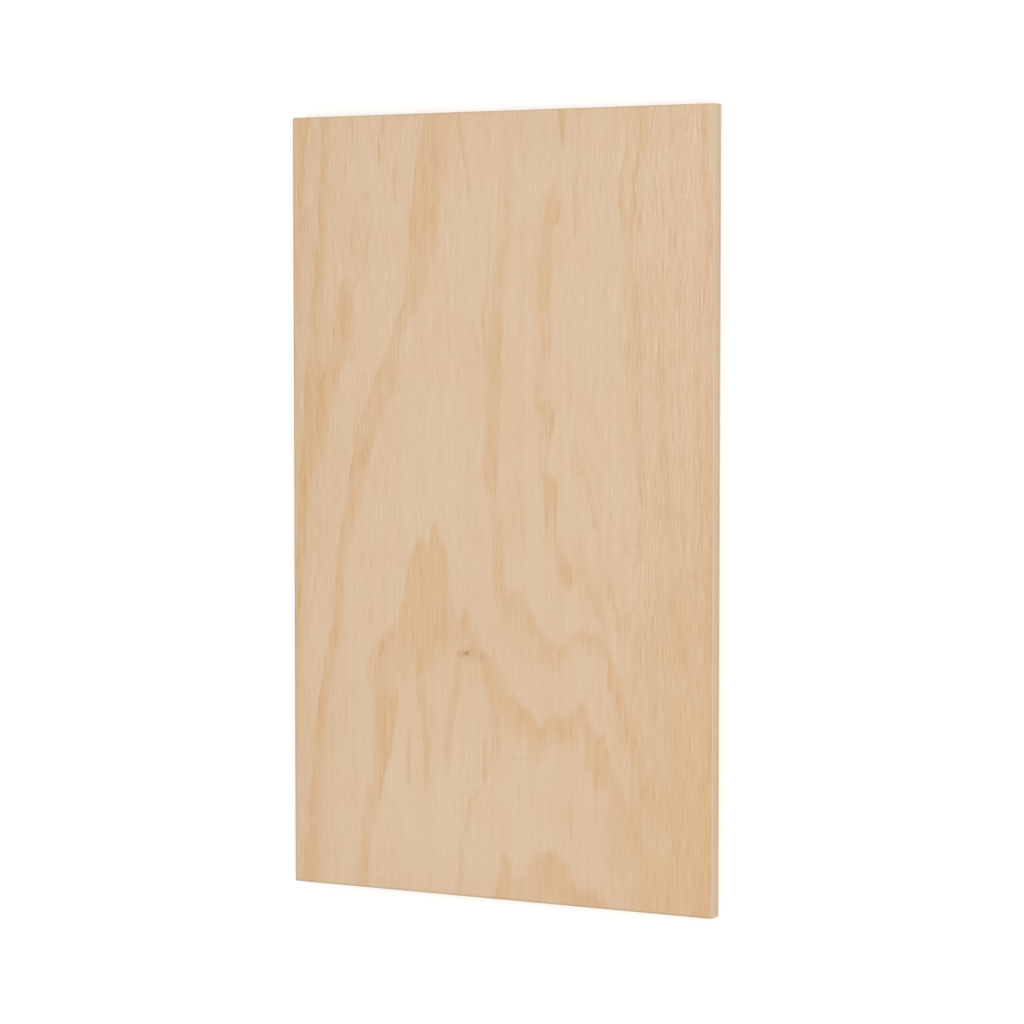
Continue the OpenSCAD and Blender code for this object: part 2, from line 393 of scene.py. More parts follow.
class NodeBuilder:
    """Adds nodes to a tree. An input is given as a socket to link or as a plain value."""

    def __init__(self, tree):
        self.tree = tree

    def feed(self, socket, value):
        if isinstance(value, bpy.types.NodeSocket):
            self.tree.links.new(value, socket)
        else:
            socket.default_value = value

    def add(self, kind, inputs=None, **settings):
        node = self.tree.nodes.new(kind)
        for name, value in settings.items():
            setattr(node, name, value)
        for name, value in (inputs or {}).items():
            self.feed(node.inputs[name], value)
        return node

    def math(self, operation, *values, kind="ShaderNodeMath"):
        node = self.add(kind, operation=operation)
        for socket, value in zip(node.inputs, values):
            self.feed(socket, value)
        return node.outputs[0]

    def vector_math(self, operation, *values):
        return self.math(operation, *values, kind="ShaderNodeVectorMath")

    def chain(self, operation, values):
        """One operation over all the values, from the first to the last."""
        result, *others = values
        for value in others:
            result = self.math(operation, result, value)
        return result

    def total(self, *values):
        return self.chain("ADD", values)

    def product(self, *values):
        return self.chain("MULTIPLY", values)

    def largest(self, *values):
        return self.chain("MAXIMUM", values)

    def fade(self, value, start, end):
        """0 up to start and 1 from end on, with a smooth step between. It also runs downwards."""
        node = self.add(
            "ShaderNodeMapRange", {"Value": value, "From Min": start, "From Max": end},
            interpolation_type="SMOOTHSTEP")
        return node.outputs["Result"]

    def span(self, value, low, high):
        """A value from 0 to 1 spread over low to high."""
        node = self.add("ShaderNodeMapRange", {"Value": value, "To Min": low, "To Max": high})
        return node.outputs["Result"]

    def sway(self, value, reach):
        """A value from 0 to 1 spread to both sides of zero."""
        return self.span(value, -reach, reach)

    def split(self, vector):
        return self.add("ShaderNodeSeparateXYZ", {"Vector": vector}).outputs

    def join(self, x, y, z=0.0):
        return self.add("ShaderNodeCombineXYZ", {"X": x, "Y": y, "Z": z}).outputs["Vector"]

    def stretched_noise(self, vector, cell, detail=2.0, roughness=0.5, shift=(0, 0, 0)):
        """Noise from 0 to 1 whose blots are about cell in size, a size for each axis."""
        scaled = self.vector_math("MULTIPLY_ADD", vector, [1 / size for size in cell], shift)
        node = self.add(
            "ShaderNodeTexNoise", {"Vector": scaled, "Scale": 1.0, "Detail": detail, "Roughness": roughness})
        return node.outputs[0]

    def mix(self, factor, first, second):
        node = self.add("ShaderNodeMix", data_type="RGBA")
        self.feed(node.inputs[0], factor)
        for socket, colour in zip(node.inputs[6:8], (first, second)):
            self.feed(socket, colour if isinstance(colour, bpy.types.NodeSocket) else (*colour, 1.0))
        return node.outputs[2]

    def tint(self, tone, colour, *shares):
        """A tone that takes on a colour by the product of the shares."""
        return self.mix(self.product(*shares), tone, colour)

    def curves(self, value, channels):
        """Three curves of one value, each a list of (value, result) from 0 to 1, as a colour."""
        node = self.add("ShaderNodeRGBCurve")
        node.mapping.extend = "HORIZONTAL"
        for curve, points in zip(node.mapping.curves, channels):
            points = sorted(points)
            for place, level in points[1:-1]:
                curve.points.new(place, level)
            curve.points[0].location = points[0]
            curve.points[-1].location = points[-1]
            for point in curve.points:
                point.handle_type = "AUTO_CLAMPED"
        node.mapping.update()
        self.feed(node.inputs["Color"], value)
        return node.outputs["Color"]


def new_group(name, kind, inputs, outputs):
    """A node group with its input and output nodes. Inputs and outputs are (name, socket kind)."""
    tree = bpy.data.node_groups.new(name, kind)
    for in_out, sockets in (("INPUT", inputs), ("OUTPUT", outputs)):
        for label, socket_kind in sockets:
            tree.interface.new_socket(label, in_out=in_out, socket_type=socket_kind)
    nodes = NodeBuilder(tree)
    return nodes, nodes.add("NodeGroupInput").outputs, nodes.add("NodeGroupOutput").inputs


def panel_group():
    """Geometry nodes that build the sheet up from its plies as one closed panel.

    The panel is a box of points in rows, four rows to a ply: its two glue lines, and a line an arris
    inside each. Every row is moved to its height, and its rim to the reach of its ply.
    """
    kinds = {
        NUMBER: (
            "Width", "Length", "Thickness", "Face Veneer", "End Grain Setback", "Arris",
            "Glue Line Wander", "Cell"),
        "NodeSocketInt": ("Plies", "Seed"),
        "NodeSocketMaterial": ("Face", "Back", "Edge")}
    inputs = [(name, kind) for kind, names in kinds.items() for name in names]
    nodes, given, result = new_group(
        "plywood_panel", "GeometryNodeTree", inputs, [("Panel", "NodeSocketGeometry")])
    calc = nodes.math
    plies, arris, thickness = given["Plies"], given["Arris"], given["Thickness"]
    rows = calc("MULTIPLY", plies, ROWS_PER_PLY)
    last_row = calc("SUBTRACT", rows, 1)
    box = nodes.add("GeometryNodeMeshCube", {
        "Size": nodes.join(given["Width"], given["Length"], last_row),
        "Vertices X": calc("ADD", calc("DIVIDE", given["Width"], given["Cell"]), 1),
        "Vertices Y": calc("ADD", calc("DIVIDE", given["Length"], given["Cell"]), 1),
        "Vertices Z": rows})

    place = nodes.add("GeometryNodeInputPosition").outputs["Position"]
    x, y, height = nodes.split(place)
    row = calc("ROUND", calc("ADD", height, calc("MULTIPLY", last_row, 0.5)))
    ply = calc("FLOOR", calc("DIVIDE", calc("ADD", row, 0.5), ROWS_PER_PLY))
    step = calc("SUBTRACT", row, calc("MULTIPLY", ply, ROWS_PER_PLY))

    middle_ply = calc("MULTIPLY", calc("SUBTRACT", plies, 1), 0.5)
    from_middle = calc("ABSOLUTE", calc("SUBTRACT", ply, middle_ply))
    outer = calc("GREATER_THAN", from_middle, calc("SUBTRACT", middle_ply, 0.5))
    both_faces = calc("MULTIPLY", given["Face Veneer"], 2)
    inner_t = calc("DIVIDE", calc("SUBTRACT", thickness, both_faces), calc("SUBTRACT", plies, 2))
    own_t = calc("ADD", inner_t, calc("MULTIPLY", outer, calc("SUBTRACT", given["Face Veneer"], inner_t)))
    inner_low = calc("ADD", given["Face Veneer"], calc("MULTIPLY", calc("SUBTRACT", ply, 1), inner_t))
    low = calc("MULTIPLY", calc("GREATER_THAN", ply, 0.5), inner_low)
    upper_half = calc("GREATER_THAN", step, 1.5)
    arris_up = calc("COMPARE", step, 1, 0.5)
    arris_down = calc("COMPARE", step, 2, 0.5)
    above_low = calc("ADD", calc("MULTIPLY", upper_half, own_t),
                     calc("MULTIPLY", arris, calc("SUBTRACT", arris_up, arris_down)))
    level = calc("ADD", ply, calc("DIVIDE", above_low, own_t))
    flat_z = calc("ADD", low, above_low)

    # Uneven places: the glue lines wander, and the end grain and the bevels vary along the edges.
    spread = nodes.vector_math(
        "MULTIPLY_ADD", nodes.join(x, y, flat_z), (1, 1, 20), nodes.join(0.0, 0.0, given["Seed"]))
    slow = nodes.stretched_noise(spread, (0.07, 0.07, 0.07))
    quick = nodes.stretched_noise(spread, (0.016, 0.016, 0.016), shift=(3, 5, 8))
    between = nodes.product(
        calc("GREATER_THAN", row, 1.5), calc("LESS_THAN", row, calc("SUBTRACT", last_row, 1.5)))
    stray = nodes.product(between, given["Glue Line Wander"], nodes.span(slow, -1.6, 1.6))
    rim = calc("ADD", calc("LESS_THAN", row, 0.5), calc("GREATER_THAN", row, calc("SUBTRACT", last_row, 0.5)))
    bevel = nodes.product(rim, arris, nodes.span(quick, 0.6, 1.4))
    setback = calc("MULTIPLY", given["End Grain Setback"], nodes.span(quick, 0.5, 1.5))
    cross = calc("MODULO", ply, 2)
    along = calc("SUBTRACT", 1, cross)

    def reached(value, size, end_grain):
        inset = calc("ADD", bevel, calc("MULTIPLY", setback, end_grain))
        reach = calc("SUBTRACT", calc("MULTIPLY", size, 0.5), inset)
        node = nodes.add("ShaderNodeClamp", {"Value": value, "Max": reach})
        nodes.feed(node.inputs["Min"], calc("MULTIPLY", reach, -1))
        return node.outputs[0]

    marked = box.outputs["Mesh"]
    for name, value in ((PLY_LEVEL, level), (PLY_ROW, row)):
        stored = nodes.add("GeometryNodeStoreNamedAttribute", {
            "Geometry": marked, "Name": name, "Value": value}, data_type="FLOAT", domain="POINT")
        marked = stored.outputs["Geometry"]
    moved = nodes.add("GeometryNodeSetPosition", {
        "Geometry": marked,
        "Position": nodes.join(reached(x, given["Width"], cross), reached(y, given["Length"], along),
                               calc("ADD", flat_z, stray))})
    realized = nodes.add("GeometryNodeRealizeInstances", {"Geometry": moved.outputs["Geometry"]})
    final_z = nodes.split(nodes.add("GeometryNodeInputPosition").outputs["Position"])["Z"]
    near_face = calc("MULTIPLY", arris, 0.25)
    on_face = calc("GREATER_THAN", final_z, calc("SUBTRACT", thickness, near_face))
    on_back = calc("LESS_THAN", final_z, near_face)
    shown = realized.outputs["Geometry"]
    for material, selection in (("Edge", True), ("Face", on_face), ("Back", on_back)):
        worn = nodes.add("GeometryNodeSetMaterial", {
            "Geometry": shown, "Selection": selection, "Material": given[material]})
        shown = worn.outputs["Geometry"]
    nodes.feed(result["Panel"], shown)
    return nodes.tree


def leg_group():
    """Late wood of one leg: how much honey and how much dark line there is at a point."""
    nodes, given, result = new_group(
        "late_wood_leg", "ShaderNodeTree",
        [("Across", NUMBER), ("Band", BAND), ("Dark Side", NUMBER), ("Softness", NUMBER)],
        [("Honey", NUMBER), ("Line", NUMBER)])
    calc = nodes.math
    softness = given["Softness"]
    centre, half_width, strength = nodes.split(given["Band"])
    half = calc("MULTIPLY", half_width, WIDEST_HALF_MM)
    offset = calc("SUBTRACT", given["Across"], calc("MULTIPLY", centre, WIDTH_MM))
    leaning = calc("MULTIPLY", offset, given["Dark Side"])
    from_dark = calc("SUBTRACT", half, leaning)
    from_pale = calc("ADD", half, leaning)
    dark_edge = nodes.fade(from_dark, calc("MULTIPLY", softness, -2.0), calc("MULTIPLY", softness, 1.8))
    pale_edge = nodes.fade(
        from_pale, calc("MULTIPLY", softness, -2.5), calc("MULTIPLY_ADD", half, 0.6, 2.0))
    nodes.feed(result["Honey"], nodes.product(dark_edge, pale_edge, strength))
    line = nodes.product(nodes.fade(from_dark, -1.6, 1.0), nodes.fade(from_dark, 6.0, 1.0))
    nodes.feed(result["Line"], nodes.product(line, strength, strength))
    return nodes.tree


def arch_group():
    """Late wood of one arch: how much honey and how much dark line there is at a point."""
    nodes, given, result = new_group(
        "late_wood_arch", "ShaderNodeTree",
        [("Along", NUMBER), ("Smooth Along", NUMBER), ("Band", BAND)],
        [("Honey", NUMBER), ("Line", NUMBER)])
    calc = nodes.math
    upper, lower, strength = nodes.split(given["Band"])
    shifted = calc("ADD", given["Along"], FIGURE_MARGIN_MM)
    smooth = calc("ADD", given["Smooth Along"], FIGURE_MARGIN_MM)
    below_rim = calc("SUBTRACT", calc("MULTIPLY", upper, FIGURE_SPAN_MM), shifted)
    above_rim = calc("SUBTRACT", smooth, calc("MULTIPLY", lower, FIGURE_SPAN_MM))
    body = nodes.product(nodes.fade(below_rim, -9.0, 11.0), nodes.fade(above_rim, -24.0, 24.0), strength)
    nodes.feed(result["Honey"], body)
    line = nodes.product(nodes.fade(below_rim, -7.0, 3.0), nodes.fade(below_rim, 18.0, 3.0))
    nodes.feed(result["Line"], nodes.product(line, nodes.fade(above_rim, -2.0, 4.0), strength, strength))
    return nodes.tree


def share_of_span(up):
    """A height on the veneer as a share of the span in which the figure is looked up."""
    return (up + FIGURE_MARGIN_MM) / FIGURE_SPAN_MM


def figure(nodes, across, along, smooth_along, legs, arches, groups):
    """Honey and dark line of all the legs and arches at a point of the veneer."""
    share_along = nodes.math("DIVIDE", nodes.math("ADD", along, FIGURE_MARGIN_MM), FIGURE_SPAN_MM)
    share_across = nodes.math("DIVIDE", across, WIDTH_MM)
    bands = []
    for side, softness, points in legs.values():
        band = nodes.curves(share_along, [
            [(share_of_span(up), place_in / WIDTH_MM) for up, place_in, _, _ in points],
            [(share_of_span(up), half / WIDEST_HALF_MM) for up, _, half, _ in points],
            [(share_of_span(up), strength) for up, _, _, strength in points]])
        bands.append(nodes.add("ShaderNodeGroup", {
            "Across": across, "Band": band, "Dark Side": side, "Softness": softness},
            node_tree=groups["leg"]))
    for points in arches.values():
        band = nodes.curves(share_across, [
            [(place_in / WIDTH_MM, share_of_span(upper)) for place_in, upper, _, _ in points],
            [(place_in / WIDTH_MM, share_of_span(lower)) for place_in, _, lower, _ in points],
            [(place_in / WIDTH_MM, strength) for place_in, _, _, strength in points]])
        bands.append(nodes.add("ShaderNodeGroup", {
            "Along": along, "Smooth Along": smooth_along, "Band": band}, node_tree=groups["arch"]))
    return [nodes.largest(*[band.outputs[name] for band in bands]) for name in ("Honey", "Line")]


def spotted(nodes, across, along, ragged, spots):
    """How much of the knots, flecks or pale patches there is at a point of the veneer."""
    calc = nodes.math
    depths = []
    for place_in, place_up, half_width, half_height, strength in spots:
        side = calc("DIVIDE", calc("SUBTRACT", across, place_in), half_width)
        rise = calc("DIVIDE", calc("SUBTRACT", along, place_up), half_height)
        square = calc("ADD", calc("MULTIPLY", side, side), calc("MULTIPLY", rise, rise))
        distance = calc("ADD", calc("SQRT", square), nodes.sway(ragged, 0.35))
        depths.append(calc("MULTIPLY", nodes.fade(distance, 1.3, 0.35), strength))
    return nodes.largest(*depths)


def new_material(name):
    material = bpy.data.materials.new(name)
    material.use_nodes = True
    material.node_tree.nodes.clear()
    nodes = NodeBuilder(material.node_tree)
    shader = nodes.add("ShaderNodeBsdfPrincipled")
    output = nodes.add("ShaderNodeOutputMaterial")
    nodes.feed(output.inputs["Surface"], shader.outputs["BSDF"])
    return material, nodes, shader


def finish_wood(nodes, shader, tone, roughness, gloss, relief, bump_strength, bump_depth):
    """Gives a wooden surface its colour, roughness, gloss and fine relief."""
    nodes.feed(shader.inputs["Base Color"], tone)
    nodes.feed(shader.inputs["Roughness"], roughness)
    shader.inputs["Specular IOR Level"].default_value = gloss
    bump = nodes.add("ShaderNodeBump", {
        "Height": relief, "Strength": bump_strength, "Distance": bump_depth})
    nodes.feed(shader.inputs["Normal"], bump.outputs["Normal"])


def veneer_material(name, colours, figured, groups, shift):
    """A sanded rotary-cut veneer: cream early wood, honey bands, fibres and pin knots."""
    legs, arches, knots, flecks, pales = figured
    material, nodes, shader = new_material(name)
    place = nodes.add("ShaderNodeTexCoord").outputs["Object"]
    corner = nodes.add("ShaderNodeMapping", {
        "Vector": place, "Scale": (1 / MM, 1 / MM, 1 / MM),
        "Location": (WIDTH_MM / 2, LENGTH_MM / 2, 0)}).outputs["Vector"]
    across, along, _ = nodes.split(corner)

    def noise(vector, cell_across, cell_along, detail=2.0, roughness=0.5):
        cell = (cell_across, cell_along, GRAIN_DEPTH_MM)
        return nodes.stretched_noise(vector, cell, detail, roughness, shift)

    wander = noise(corner, 45, 90, detail=1.0)
    ripple = noise(corner, 16, 42, detail=1.0)
    strayed = nodes.total(across, nodes.sway(wander, 4), nodes.sway(ripple, 1.5))
    wavy = nodes.join(strayed, along)
    hair = noise(wavy, 1.1, 34)
    fibre = noise(wavy, 1.9, 62)
    strand = noise(wavy, 4.5, 115)
    ring = noise(wavy, 4.5, 700)
    grit = noise(wavy, 1.3, 3.5, detail=1.0)
    mottle = noise(corner, 6, 13)
    streak = noise(corner, 11, 380, roughness=0.6)
    cloud = noise(corner, 90, 150)
    blotch = noise(corner, 16, 45, detail=3.0, roughness=0.6)
    pore = noise(wavy, 0.8, 9, detail=1.0)
    ragged = noise(corner, 2, 2, detail=1.0)

    # The figure is looked up through straying fibres, so its bands end in fine teeth.
    drawn_along = nodes.total(along, nodes.sway(strand, 20), nodes.sway(fibre, 14))
    smooth_along = nodes.total(along, nodes.sway(strand, 8), nodes.sway(blotch, 14))
    drawn_across = nodes.total(strayed, nodes.sway(strand, 5), nodes.sway(fibre, 5))
    honey, line = figure(nodes, drawn_across, drawn_along, smooth_along, legs, arches, groups)
    knot, fleck, paler = [
        spotted(nodes, across, along, ragged, spots) for spots in (knots, flecks, pales)]

    # Parts of the sheet: left and right, the way to the head, a darker tone towards the left, right, head and
    # foot, and tan wood low on the right.
    edgeward = nodes.total(across, nodes.sway(cloud, 90))
    headward = nodes.math("DIVIDE", along, LENGTH_MM)
    leftward = nodes.fade(strayed, 230, 120)
    rightward = nodes.fade(strayed, 430, 530)
    left_dusk = nodes.product(nodes.fade(edgeward, 130, -20), 0.85)
    right_dusk = nodes.product(nodes.fade(edgeward, 430, 560), nodes.fade(headward, 0.96, 0.7), 0.32)
    head_dusk = nodes.product(nodes.fade(headward, 0.9, 1.02), nodes.fade(across, 460, 340), 0.5)
    foot_dusk = nodes.product(nodes.fade(headward, 0.07, -0.01), 0.5)
    right_tan = nodes.product(nodes.fade(edgeward, 430, 570), nodes.fade(headward, 0.9, -0.1))

    # Early wood, from the common tone to the special ones.
    tone = nodes.mix(nodes.fade(streak, 0.36, 0.62), colours.pale, colours.cream)
    tone = nodes.tint(tone, colours.blush, nodes.fade(cloud, 0.46, 0.68), 0.7)
    # Darker towards the left, right, head and foot.
    tone = nodes.tint(tone, colours.dusk, nodes.largest(left_dusk, right_dusk, head_dusk, foot_dusk))
    tone = nodes.tint(tone, colours.pale, paler)
    tone = nodes.tint(tone, colours.tan, right_tan)

    # Late wood: the honey of the bands, their dark lines, and straight rings on the right.
    tone = nodes.tint(
        tone, colours.honey, honey, nodes.span(leftward, 0.73, 0.76), nodes.span(fibre, 0.7, 1.3),
        nodes.span(strand, 0.5, 1.5), nodes.span(blotch, 0.4, 1.7))
    tone = nodes.tint(tone, colours.late_line, line, nodes.fade(strand, 0.3, 0.7), 0.5)
    tone = nodes.tint(tone, colours.honey, nodes.fade(ring, 0.5, 0.68), rightward, 0.3)

    # The grain is liveliest on the right and towards the head.
    lively = nodes.product(
        nodes.total(nodes.span(rightward, 0.66, 1.25), nodes.product(leftward, 0.22)),
        nodes.span(blotch, -0.4, 2.4), nodes.span(headward, 0.7, 1.2))
    tone = nodes.tint(tone, colours.fibre, nodes.fade(pore, 0.56, 0.8), lively, 0.16)
    tone = nodes.tint(tone, colours.fleck, fleck)
    tone = nodes.tint(tone, colours.knot, knot)

    # Grime and painted shade along the edges: a painted contact shadow, strongest along the foot, and painted
    # shade along the other arrises, broken up by grime blotches. Each has its reach in millimetres, and its
    # least and greatest strength.
    from_head = nodes.math("SUBTRACT", LENGTH_MM, along)
    from_right = nodes.math("SUBTRACT", WIDTH_MM, across)
    grime_and_shade = [
        nodes.product(nodes.fade(inset, reach, 0.6), nodes.span(blotch, least, greatest))
        for inset, reach, least, greatest in (
            (along, 3.6, 0.15, 0.6), (across, 3.6, 0.08, 0.4), (from_head, 3.6, 0.02, 0.3),
            (from_right, 6.0, 0.02, 0.16))]
    tone = nodes.tint(tone, colours.soil_and_shade, nodes.largest(*grime_and_shade))

    # Darker fibres are richer in colour too, and so are the bands low on the sheet.
    grain = nodes.total(
        nodes.sway(hair, 0.14), nodes.sway(grit, 0.06), nodes.sway(fibre, 0.06), nodes.sway(strand, 0.025))
    dark = nodes.total(
        nodes.product(grain, lively), nodes.sway(mottle, 0.022), nodes.sway(streak, 0.022))
    richness = nodes.product(
        nodes.largest(honey, right_tan), nodes.span(nodes.fade(headward, 0.62, 0.4), -0.008, 0.026))
    shaded = nodes.add("ShaderNodeHueSaturation", {
        "Color": tone, "Value": nodes.math("SUBTRACT", 1.0, dark),
        "Saturation": nodes.total(nodes.math("MULTIPLY_ADD", dark, 1.25, 1.0), richness)})

    roughness = nodes.total(0.6, nodes.sway(fibre, 0.06))
    relief = nodes.total(nodes.product(fibre, 0.5), nodes.product(pore, -0.4))
    finish_wood(nodes, shader, shaded.outputs["Color"], roughness, 0.3, relief, 0.12, 0.3 * MM)
    return material


def edge_material(name, colours, sheet):
    """The sawn edges: long grain and end grain by turns, glue lines, lathe checks and saw marks."""
    material, nodes, shader = new_material(name)
    calc = nodes.math
    place = nodes.add("ShaderNodeTexCoord").outputs["Object"]
    x, y, z = nodes.split(place)
    level = nodes.add("ShaderNodeAttribute", attribute_name=PLY_LEVEL).outputs["Fac"]

    # A point lies on a long edge where that edge is nearer than a short one.
    to_long = calc("SUBTRACT", sheet.width / 2, calc("ABSOLUTE", x))
    to_short = calc("SUBTRACT", sheet.length / 2, calc("ABSOLUTE", y))
    long_edge = calc("LESS_THAN", to_long, to_short)
    run = calc("ADD", calc("MULTIPLY", long_edge, y), calc("MULTIPLY", calc("SUBTRACT", 1, long_edge), x))
    run_mm = calc("DIVIDE", run, MM)
    rise_mm = calc("DIVIDE", z, MM)

    # Each edge and each ply has its own stretch of the noise.
    side_shift = calc("ADD", calc("MULTIPLY", calc("SIGN", x), 311), calc("MULTIPLY", calc("SIGN", y), 173))
    ply = calc("FLOOR", calc("MINIMUM", level, sheet.ply_count - 0.01))
    within = calc("SUBTRACT", level, ply)
    spot = nodes.join(calc("ADD", run_mm, side_shift), rise_mm, calc("MULTIPLY", ply, 37))

    # Cross plies end at the long edges, and the others at the short ones.
    cross = calc("MODULO", ply, 2)
    end_grain = calc("COMPARE", cross, long_edge, 0.5)

    grain = nodes.stretched_noise(spot, (60, 0.35, 1))
    patch = nodes.stretched_noise(spot, (110, 6, 1), detail=1.0, shift=(7, 3, 1))
    speck = nodes.stretched_noise(spot, (0.7, 0.5, 1), roughness=0.6)
    ring = nodes.stretched_noise(spot, (26, 0.8, 1), detail=1.0, shift=(2, 9, 4))
    check = nodes.stretched_noise(spot, (0.9, 7, 1), detail=1.0, shift=(5, 1, 3))
    saw = nodes.stretched_noise(spot, (1.6, 60, 9000), detail=1.0, shift=(1, 1, 1))

    long_tone = nodes.tint(colours.long_grain, colours.honey, nodes.fade(grain, 0.42, 0.7), 0.45)
    long_tone = nodes.tint(long_tone, colours.blush, nodes.fade(patch, 0.5, 0.72), 0.4)
    end_tone = nodes.tint(colours.end_grain, colours.late_line, nodes.fade(ring, 0.4, 0.66), 0.4)
    end_tone = nodes.tint(end_tone, colours.fibre, nodes.fade(speck, 0.5, 0.72), 0.3)
    end_tone = nodes.tint(end_tone, colours.glue, nodes.fade(check, 0.64, 0.74), 0.45)

    # End grain is paler low down in its ply, painted light that sets off the painted shade under the ply
    # above, and paler in all but the dark ply. The lowest ply is dusty.
    end_tone = nodes.tint(end_tone, colours.long_grain, nodes.fade(within, 0.6, 0.1), 0.4)
    dark_ply = calc("COMPARE", ply, DARK_PLY, 0.5)
    end_tone = nodes.tint(end_tone, colours.long_grain, nodes.span(dark_ply, 0.1, 0))
    tone = nodes.mix(end_grain, long_tone, end_tone)
    # Painted shade: the dark ply darkens towards its top, as if in shadow under the ply above.
    tone = nodes.tint(tone, colours.fibre, dark_ply, nodes.fade(within, 0.25, 0.65), 0.5)
    tone = nodes.tint(tone, colours.dust, nodes.fade(level, 1.05, 0.9), 0.5)
    tone = nodes.tint(tone, colours.fibre, nodes.fade(saw, 0.55, 0.75), 0.12)

    # A glue line is where one ply meets the next. Face and back have none on their outer side,
    # and the small ledges between plies show bare wood.
    facing_up = nodes.split(nodes.add("ShaderNodeNewGeometry").outputs["True Normal"])["Z"]
    wall = nodes.fade(calc("ABSOLUTE", facing_up), 0.8, 0.4)
    to_line = calc("MINIMUM", within, calc("SUBTRACT", 1, within))
    outer_low = calc("LESS_THAN", level, 0.5)
    outer_high = calc("GREATER_THAN", level, sheet.ply_count - 0.5)
    glued = calc("SUBTRACT", 1, calc("ADD", outer_low, outer_high))
    tone = nodes.tint(
        tone, colours.glue, nodes.fade(to_line, 0.065, 0.015), glued, nodes.span(grain, 0.25, 0.95), wall)

    roughness = calc("ADD", 0.7, calc("MULTIPLY", end_grain, 0.12))
    rough = calc("MULTIPLY", end_grain, calc("ADD", speck, calc("MULTIPLY", check, -0.8)))
    relief = nodes.total(rough, nodes.product(saw, 0.6), nodes.product(grain, 0.3))
    finish_wood(nodes, shader, tone, roughness, 0.25, relief, 0.5, 0.25 * MM)
    return material


def built_mesh(tree, values, name):
    """The plain mesh that a geometry node tree makes from the given input values."""
    holder = bpy.data.objects.new(name, bpy.data.meshes.new(name))
    bpy.context.scene.collection.objects.link(holder)
    modifier = holder.modifiers.new("build", "NODES")
    modifier.node_group = tree
    for item in tree.interface.items_tree:
        if item.in_out == "INPUT" and item.name in values:
            modifier[item.identifier] = values[item.name]
    depsgraph = bpy.context.evaluated_depsgraph_get()
    mesh = bpy.data.meshes.new_from_object(
        holder.evaluated_get(depsgraph), preserve_all_data_layers=True, depsgraph=depsgraph)
    mesh.name = name
    slots = list(mesh.materials)
    if None in slots:
        mesh.materials.pop(index=slots.index(None))
    holder.modifiers.clear()
    holder.data = mesh
    return holder


def lay_out_bake_map(mesh, sheet):
    """A texture map with the face largest, the back beside it and the four edges as strips."""
    gap = 0.006
    face_width, face_height = 0.58, 0.985
    back_left = face_width + 2 * gap
    back_width = 0.345
    back_height = back_width * sheet.length / sheet.width
    strip = 0.024
    strip_left = back_left + back_width + gap
    last_row = sheet.ply_count * ROWS_PER_PLY - 1
    levels = [item.value / sheet.ply_count for item in mesh.attributes[PLY_LEVEL].data]
    rows = [item.value / last_row for item in mesh.attributes[PLY_ROW].data]
    uv_map = mesh.uv_layers.new(name=BAKE_MAP)
    for polygon in mesh.polygons:
        centre = polygon.center
        to_long = sheet.width / 2 - abs(centre.x)
        to_short = sheet.length / 2 - abs(centre.y)
        for loop in polygon.loop_indices:
            vertex = mesh.loops[loop].vertex_index
            spot = mesh.vertices[vertex].co
            u, v = spot.x / sheet.width + 0.5, spot.y / sheet.length + 0.5
            height = (levels[vertex] + rows[vertex]) / 2
            if polygon.material_index == FACE_SLOT:
                uv = (gap + u * face_width, gap + v * face_height)
            elif polygon.material_index == BACK_SLOT:
                uv = (back_left + u * back_width, gap + (1 - v) * back_height)
            elif to_long < to_short:
                left = strip_left + (0 if centre.x < 0 else strip + gap)
                uv = (left + height * strip, gap + v * face_height)
            else:
                low = back_height + 4 * gap + (0 if centre.y < 0 else strip + gap)
                uv = (back_left + u * back_width, low + height * strip)
            uv_map.data[loop].uv = uv


class PLYWOOD_OT_build_sheet(bpy.types.Operator):
    """Build the sheet from its plies and give it its veneers and sawn edges"""

    bl_idname = "plywood.build_sheet"
    bl_label = "Build Sheet"
    bl_options = {"REGISTER", "UNDO"}

    def execute(self, context):
        sheet, colours = context.scene.plywood_sheet, context.scene.plywood_colours
        groups = {"leg": leg_group(), "arch": arch_group()}
        face_figure = (FACE_LEGS, FACE_ARCHES, FACE_KNOTS, FACE_FLECKS, FACE_PALES)
        back_figure = (BACK_LEGS, BACK_ARCHES, BACK_KNOTS, BACK_FLECKS, BACK_PALES)
        face = veneer_material("face_veneer", colours, face_figure, groups, (0, 0, 0))
        back = veneer_material("back_veneer", colours, back_figure, groups, (31, 17, 5))
        edge = edge_material("sawn_edge", colours, sheet)
        piece = built_mesh(panel_group(), {
            "Width": sheet.width, "Length": sheet.length, "Thickness": sheet.thickness,
            "Plies": sheet.ply_count, "Face Veneer": sheet.face_veneer,
            "End Grain Setback": sheet.end_grain_setback, "Arris": sheet.arris,
            "Glue Line Wander": sheet.glue_line_wander, "Cell": sheet.cell, "Seed": sheet.seed,
            "Face": face, "Back": back, "Edge": edge}, "plywood_panel")
        if [material.name for material in piece.data.materials] != [edge.name, face.name, back.name]:
            raise RuntimeError("the panel's materials are not the edge, the face and the back")
        lay_out_bake_map(piece.data, sheet)
        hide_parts(SHEET_NODE)
        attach(piece, "root")
        return {"FINISHED"}


